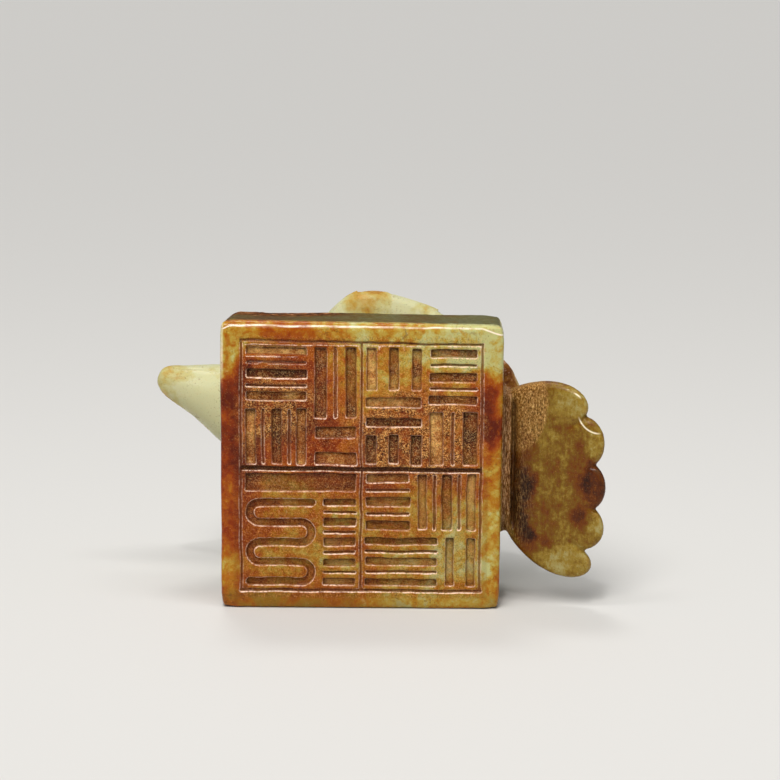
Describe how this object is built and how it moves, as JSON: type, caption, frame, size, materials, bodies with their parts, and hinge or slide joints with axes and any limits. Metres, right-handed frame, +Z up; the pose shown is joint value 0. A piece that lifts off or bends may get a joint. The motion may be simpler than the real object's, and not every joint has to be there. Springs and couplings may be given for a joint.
{
  "type": "jade seal stamp",
  "caption": "Square carved jade seal with a bird knob on its back, lying on one side so that the face with its recessed strokes stands upright.",
  "frame": {"origin": "centre of the block's side that the seal rests on", "axes": "+X from the bird's head to its tail, -Y out of the seal face, +Z up from the resting side"},
  "size_m": [0.0822, 0.0401, 0.054],
  "materials": {
    "jade": "polished jade, worn at the edges, with russet staining and rough recesses"
  },
  "bodies": {
    "root": {"jade_seal": "jade"}
  },
  "joints": []
}
